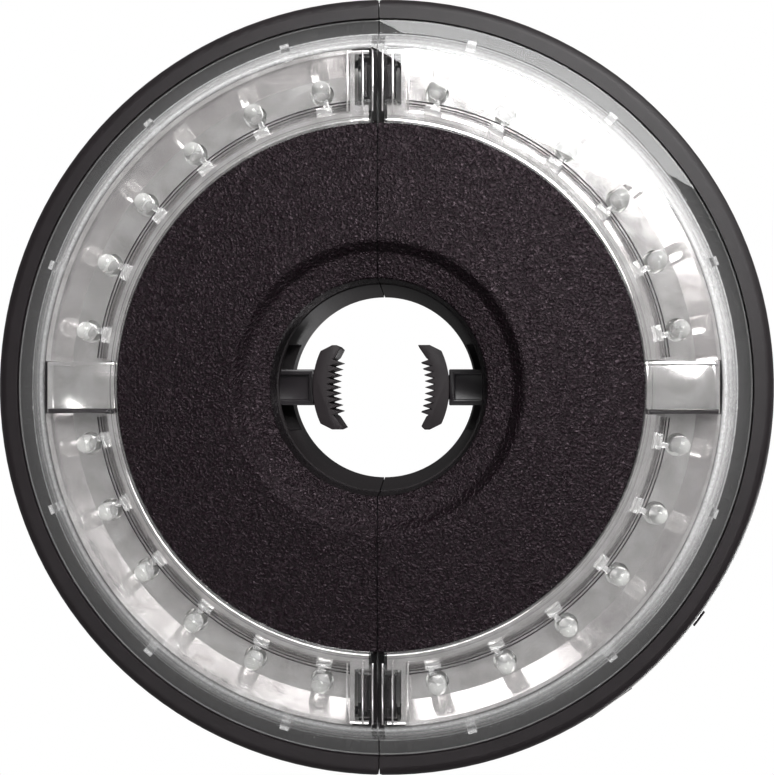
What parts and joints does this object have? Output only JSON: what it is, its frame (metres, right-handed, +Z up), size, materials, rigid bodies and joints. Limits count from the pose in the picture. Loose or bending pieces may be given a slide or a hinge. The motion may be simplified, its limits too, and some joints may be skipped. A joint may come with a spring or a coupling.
{
  "type": "umbrella pole light",
  "caption": "Round black clip-on lamp that opens in two halves round a patio umbrella pole, with a clear ring lens over lamps in silver trays and sprung toothed jaws.",
  "frame": {"origin": "on the pole's axis at the mid height of the spring jaws", "axes": "+Z up along the pole; the lamps shine down, -Z; -Y at the hinge, +Y at the latch; the half at -X swings"},
  "size_m": [0.209, 0.2111, 0.037],
  "materials": {
    "grained_black": "pebble grain",
    "case_black": "fine texture",
    "smooth_black": "satin",
    "clear_plastic": "clear",
    "reflector_silver": "satin silver",
    "lamp_epoxy": "clear epoxy",
    "plated_metal": "plated",
    "circuit_board": "solder mask",
    "black_rubber": "matte",
    "spring_steel": "drawn wire",
    "steel": "zinc plated",
    "cell_jacket": "printed film",
    "component_black": "moulded"
  },
  "bodies": {
    "fixed_half": {"batteries_right": "cell_jacket", "battery_contacts_right": "plated_metal", "battery_tray_right": "smooth_black", "button_spring": "spring_steel", "case_screws_right": "steel", "control_board": "circuit_board", "control_chip": "component_black", "divider_right": "reflector_silver", "face_right": "grained_black", "guide_screws_right": "steel", "hinge_pin": "steel", "hole_collar_right": "case_black", "jaw_guide_right": "smooth_black", "jaw_spring_right": "spring_steel", "latch_socket": "smooth_black", "led_board_right": "circuit_board", "led_leads_right_hinge": "plated_metal", "led_leads_right_latch": "plated_metal", "leds_right_hinge": "lamp_epoxy", "leds_right_latch": "lamp_epoxy", "lens_right": "clear_plastic", "power_switch": "component_black", "rear_shell_right": "case_black", "reflector_right_hinge": "reflector_silver", "reflector_right_latch": "reflector_silver", "switch_board": "circuit_board"},
    "swing_half": {"battery_contacts_left": "plated_metal", "batteries_left": "cell_jacket", "battery_tray_left": "smooth_black", "case_screws_left": "steel", "divider_left": "reflector_silver", "face_left": "grained_black", "hole_collar_left": "case_black", "guide_screws_left": "steel", "jaw_guide_left": "smooth_black", "jaw_spring_left": "spring_steel", "latch_tongue": "smooth_black", "led_board_left": "circuit_board", "led_leads_left_hinge": "plated_metal", "led_leads_left_latch": "plated_metal", "leds_left_hinge": "lamp_epoxy", "leds_left_latch": "lamp_epoxy", "lens_left": "clear_plastic", "rear_shell_left": "case_black", "reflector_left_hinge": "reflector_silver", "reflector_left_latch": "reflector_silver"},
    "jaw_left": {"jaw_arm_left": "smooth_black", "jaw_pad_left": "black_rubber"},
    "jaw_right": {"jaw_arm_right": "smooth_black", "jaw_pad_right": "black_rubber"},
    "button": {"power_button": "smooth_black"},
    "door_left": {"battery_door_left": "case_black"},
    "door_right": {"battery_door_right": "case_black"}
  },
  "joints": [
    {"name": "half_swing", "type": "hinge", "parent": "fixed_half", "child": "swing_half", "pos_m": [0, -0.1038, 0], "axis": [0, 0, 1], "range_deg": [0, 75]},
    {"name": "jaw_left_slide", "type": "slide", "parent": "swing_half", "child": "jaw_left", "axis": [-1, 0, 0], "range_m": [0, 0.012], "stiffness_N_per_m": 250, "springref_m": -0.012, "deforming": ["jaw_spring_left"]},
    {"name": "jaw_right_slide", "type": "slide", "parent": "fixed_half", "child": "jaw_right", "axis": [1, 0, 0], "range_m": [0, 0.012], "stiffness_N_per_m": 250, "springref_m": -0.012, "deforming": ["jaw_spring_right"]},
    {"name": "button_press", "type": "slide", "parent": "fixed_half", "child": "button", "axis": [-0.81, -0.5864, 0], "range_m": [0, 0.0008], "stiffness_N_per_m": 400, "springref_m": -0.002, "deforming": ["button_spring"]},
    {"name": "door_left_lift", "type": "slide", "parent": "swing_half", "child": "door_left", "axis": [0, 0, 1], "range_m": [0, 0.02]},
    {"name": "door_right_lift", "type": "slide", "parent": "fixed_half", "child": "door_right", "axis": [0, 0, 1], "range_m": [0, 0.02]}
  ]
}
